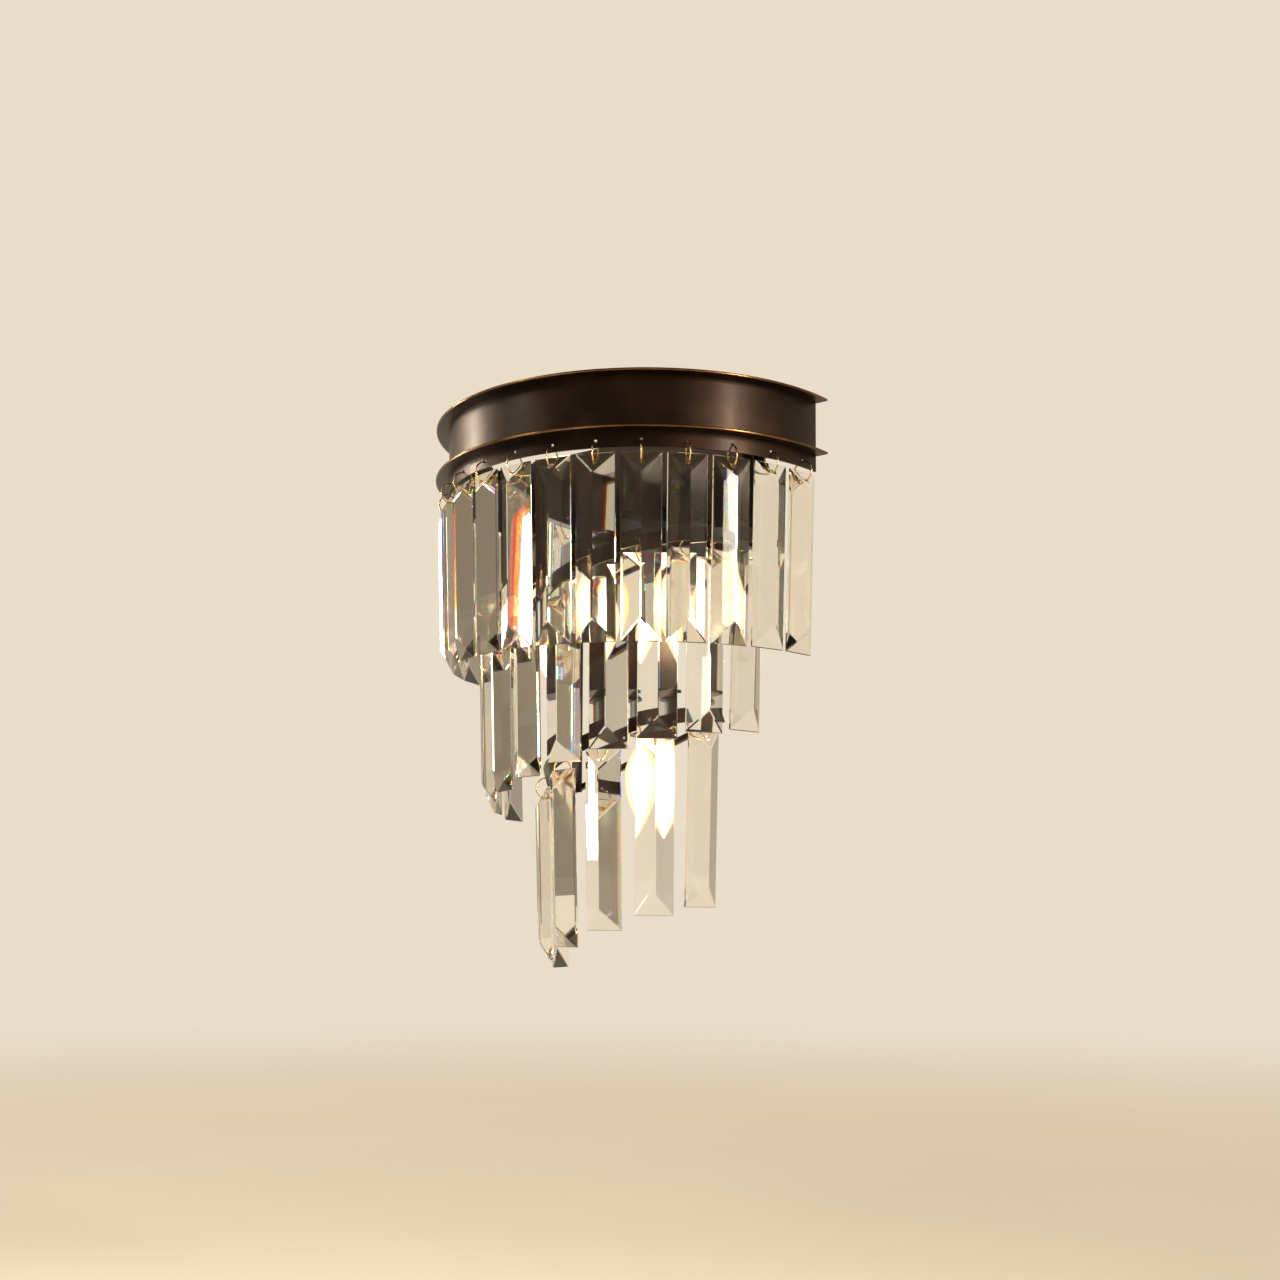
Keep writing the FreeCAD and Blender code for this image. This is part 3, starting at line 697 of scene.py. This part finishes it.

# %% [markdown]
# ## Putting finishes and bodies together
# Each new piece gets its material, rides on the body that moves it, and hides the imported node it
# replaces. Crystals ride on bodies of their own, and everything else rides on the fixture. Imported
# nodes that are still to be seen get a finish too.


# %% Finishes on pieces and imported nodes
def finish_with(obj, material):
    """Gives an object one material."""
    obj.data.materials.clear()
    obj.data.materials.append(material)


for body, obj in crystals.items():
    finish_with(obj, crystal_glass)
    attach(obj, body)
    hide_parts(body)
for tier, obj in rings.items():
    finish_with(obj, brass)
    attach(obj, "fixture")
    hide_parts(f"{tier}_rings")
for node, obj in rims.items():
    finish_with(obj, bronze)
    # The lip's faces take the second metal, the painted highlight.
    obj.data.materials.append(lip)
    obj.data.polygons.foreach_set("material_index", rim_zone)
    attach(obj, "fixture")
    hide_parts(node)
for word, obj in bulbs.items():
    finish_with(obj, envelope_glass)
    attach(obj, "fixture")
    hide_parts(f"{word}_bulb")
    finish_with(glow[word], filament_glow)
    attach(glow[word], "fixture")

NODE_FINISH = {"wall_bracket": zinc, "plate_studs": zinc, "lamp_sockets": socket_black,
               "bulb_bases": base_metal}
for name, obj in nodes.items():
    if obj.hide_render or "crystal" in name:
        continue
    obj.data.materials.clear()
    obj.data.materials.append(NODE_FINISH.get(name, bronze))
    print(name, "is finished with", obj.data.materials[0].name)

# %% [markdown]
# ## Floor
# The photograph's wall is left out. A pale floor takes the part's shadow instead. Far out its paint
# passes into the background's own colour, so that it has no edge, which a plain disc would show.

# %% Pale floor
BACKGROUND = (0.82, 0.72, 0.58)
FLOOR_Z = -0.62
FLOOR_RADIUS = 14.0
FLOOR_SIDES = 96
FLOOR_ROUGHNESS = 0.85
FADE_FROM = 0.8
FADE_BY = 4.0
around = np.linspace(0, 2 * math.pi, FLOOR_SIDES, endpoint=False)
floor = mesh_object("studio_floor",
                    np.stack([FLOOR_RADIUS * np.cos(around), FLOOR_RADIUS * np.sin(around),
                              np.full(FLOOR_SIDES, FLOOR_Z)], axis=1), [list(range(FLOOR_SIDES))])
floor_paint, n, links, output = new_material("studio_floor")
paint = n.new("ShaderNodeBsdfPrincipled")
paint.inputs["Roughness"].default_value = FLOOR_ROUGHNESS
links.new(ramp(n, links, noise(n, links, 3.0), [(0.3, (0.84, 0.76, 0.65)),
                                                (0.7, (0.87, 0.79, 0.68))]),
          paint.inputs["Base Color"])
far = n.new("ShaderNodeEmission")
far.inputs["Color"].default_value = (*BACKGROUND, 1)
coords = n.new("ShaderNodeTexCoord")
distance = n.new("ShaderNodeVectorMath")
distance.operation = "LENGTH"
links.new(coords.outputs["Object"], distance.inputs[0])
fade = n.new("ShaderNodeMapRange")
fade.interpolation_type = "SMOOTHSTEP"
fade.inputs["From Min"].default_value = FADE_FROM
fade.inputs["From Max"].default_value = FADE_BY
links.new(distance.outputs["Value"], fade.inputs["Value"])
floor_mix = n.new("ShaderNodeMixShader")
links.new(fade.outputs["Result"], floor_mix.inputs["Fac"])
links.new(paint.outputs["BSDF"], floor_mix.inputs[1])
links.new(far.outputs["Emission"], floor_mix.inputs[2])
links.new(floor_mix.outputs["Shader"], output.inputs["Surface"])
floor.data.materials.append(floor_paint)
print("floor at", FLOOR_Z, "m with radius", FLOOR_RADIUS, "m, paint fades from", FADE_FROM, "m")

# %% [markdown]
# ## Room
# Camera rays and diffuse rays get one plain background colour. Rays that a surface mirrors or
# bends get another room: pale behind the part, dimmer in front and dark overhead. That gives the
# cut glass something dark to bend into its edges, so its facets show.

# %% Room: pale behind, dimmer in front, dark overhead
PALE_FROM = 0.30  # share of the way toward +Y at which the front's colour starts to give way
PALE_BY = 0.76
DARK_FROM = 0.54  # share of the way up at which the overhead dark starts
DARK_BY = 0.80
OVERHEAD = (0.10, 0.075, 0.05)
FRONT = (0.26, 0.215, 0.16)
world = bpy.data.worlds.new("studio")
bpy.context.scene.world = world
world.use_nodes = True
w_nodes, w_links = world.node_tree.nodes, world.node_tree.links
w_nodes.clear()
w_out = w_nodes.new("ShaderNodeOutputWorld")
direction = w_nodes.new("ShaderNodeTexCoord")
parts = w_nodes.new("ShaderNodeSeparateXYZ")
w_links.new(direction.outputs["Generated"], parts.inputs["Vector"])


MIX_COLOUR_A, MIX_COLOUR_B, MIX_COLOUR_OUT = 6, 7, 2  # a Mix node's colour sockets


def blend(factor, first, second):
    """A mix of two colours or sockets by a factor socket."""
    node = w_nodes.new("ShaderNodeMix")
    node.data_type = "RGBA"
    w_links.new(factor, node.inputs["Factor"])
    for place, value in ((MIX_COLOUR_A, first), (MIX_COLOUR_B, second)):
        socket = node.inputs[place]
        if isinstance(value, tuple):
            socket.default_value = (*value, 1)
        else:
            w_links.new(value, socket)
    return node.outputs[MIX_COLOUR_OUT]


def step_between(value, low, high):
    """0 below low, 1 above high and smooth between."""
    node = w_nodes.new("ShaderNodeMapRange")
    node.interpolation_type = "SMOOTHSTEP"
    node.inputs["From Min"].default_value = low
    node.inputs["From Max"].default_value = high
    w_links.new(value, node.inputs["Value"])
    return node.outputs["Result"]


level = blend(step_between(parts.outputs["Y"], PALE_FROM, PALE_BY), FRONT, BACKGROUND)
room = blend(step_between(parts.outputs["Z"], DARK_FROM, DARK_BY), level, OVERHEAD)
path = w_nodes.new("ShaderNodeLightPath")
plain = w_nodes.new("ShaderNodeMath")
plain.operation = "MAXIMUM"
w_links.new(path.outputs["Is Camera Ray"], plain.inputs[0])
w_links.new(path.outputs["Is Diffuse Ray"], plain.inputs[1])
seen = blend(plain.outputs["Value"], room, BACKGROUND)
back = w_nodes.new("ShaderNodeBackground")
w_links.new(seen, back.inputs["Color"])
w_links.new(back.outputs["Background"], w_out.inputs["Surface"])
print("background colour:", BACKGROUND)

# %% [markdown]
# ## Soft boxes
# One large soft box from the front left gives the metal its long quiet sheen. Two narrow ones at
# the sides draw bright lines down the cuts, as a photographer's strip boxes do. All are weak,
# since colours should render about as they are written.

# %% Three lights
KEY_SIZE = (0.4, 0.8)
KEY_POWER = 7.0
STRIP_SIZE = (0.08, 0.7)
STRIP_POWER = 2.2
STRIP_SPREAD = 60.0
KEY_COLOUR = (1.0, 0.88, 0.72)
STRIP_COLOUR = (1.0, 0.86, 0.68)


def area_light(name, place, target, size, power, colour, spread=180.0):
    """A rectangular light at place that looks at target and spreads over some degrees."""
    data = bpy.data.lights.new(name, "AREA")
    data.shape = "RECTANGLE"
    data.size, data.size_y = size
    data.energy = power
    data.color = colour
    data.spread = math.radians(spread)
    lamp = bpy.data.objects.new(name, data)
    bpy.context.scene.collection.objects.link(lamp)
    lamp.location = place
    lamp.rotation_euler = (Vector(target) - Vector(place)).to_track_quat("-Z", "Y").to_euler()
    return lamp


MIDDLE = (0.0, -0.07, -0.14)
area_light("key", (-0.9, -1.3, 0.9), MIDDLE, KEY_SIZE, KEY_POWER, KEY_COLOUR)
area_light("right_strip", (1.4, -0.2, 0.1), MIDDLE, STRIP_SIZE, STRIP_POWER, STRIP_COLOUR,
           STRIP_SPREAD)
area_light("left_strip", (-1.3, -0.4, 0.1), MIDDLE, STRIP_SIZE, STRIP_POWER, STRIP_COLOUR,
           STRIP_SPREAD)
print("lights, watts:", KEY_POWER, STRIP_POWER, STRIP_POWER)

# %% [markdown]
# ## Camera
# The camera's place, turn and focal length come from a fit of the band, its rims and the top tier
# to the photograph. The fit doesn't settle the pitch: from -3 to 8 degrees it is about as good, and
# 5 was chosen. The lens shift comes from the fitted height of the principal point.

# %% Camera fitted to the photograph
CAMERA_PLACE = (0.6671, -0.8726, -0.2892)
YAW = math.radians(37.594)
PITCH = math.radians(5.0)
ROLL = math.radians(0.303)
FOCAL_PIXELS = 1563.7
IMAGE_PIXELS = 1280
PRINCIPAL_Y = 776.4
SENSOR = 36.0
camera_data = bpy.data.cameras.new("photo_camera")
camera_data.sensor_width = SENSOR
camera_data.lens = FOCAL_PIXELS / IMAGE_PIXELS * SENSOR
camera_data.shift_y = (PRINCIPAL_Y - IMAGE_PIXELS / 2) / IMAGE_PIXELS
camera_data.clip_start = 0.01
camera = bpy.data.objects.new("photo_camera", camera_data)
bpy.context.scene.collection.objects.link(camera)
forward = Vector((-math.sin(YAW) * math.cos(PITCH), math.cos(YAW) * math.cos(PITCH),
                  math.sin(PITCH)))
right = Vector((math.cos(YAW), math.sin(YAW), 0))
up = right.cross(forward)
right_rolled = right * math.cos(ROLL) + up * math.sin(ROLL)
up_rolled = -right * math.sin(ROLL) + up * math.cos(ROLL)
camera.matrix_world = Matrix((
    (right_rolled.x, up_rolled.x, -forward.x, CAMERA_PLACE[0]),
    (right_rolled.y, up_rolled.y, -forward.y, CAMERA_PLACE[1]),
    (right_rolled.z, up_rolled.z, -forward.z, CAMERA_PLACE[2]),
    (0, 0, 0, 1),
))
bpy.context.scene.camera = camera
bpy.context.scene.view_settings.view_transform = "Standard"
print("lens, mm:", round(camera_data.lens, 2), "shift:", round(camera_data.shift_y, 4))

# %% [markdown]
# ## Size
# New surfaces are meant not to make the part larger than its imported solids. Here the view layer
# is brought up to date.

# %% Size
bpy.context.view_layer.update()
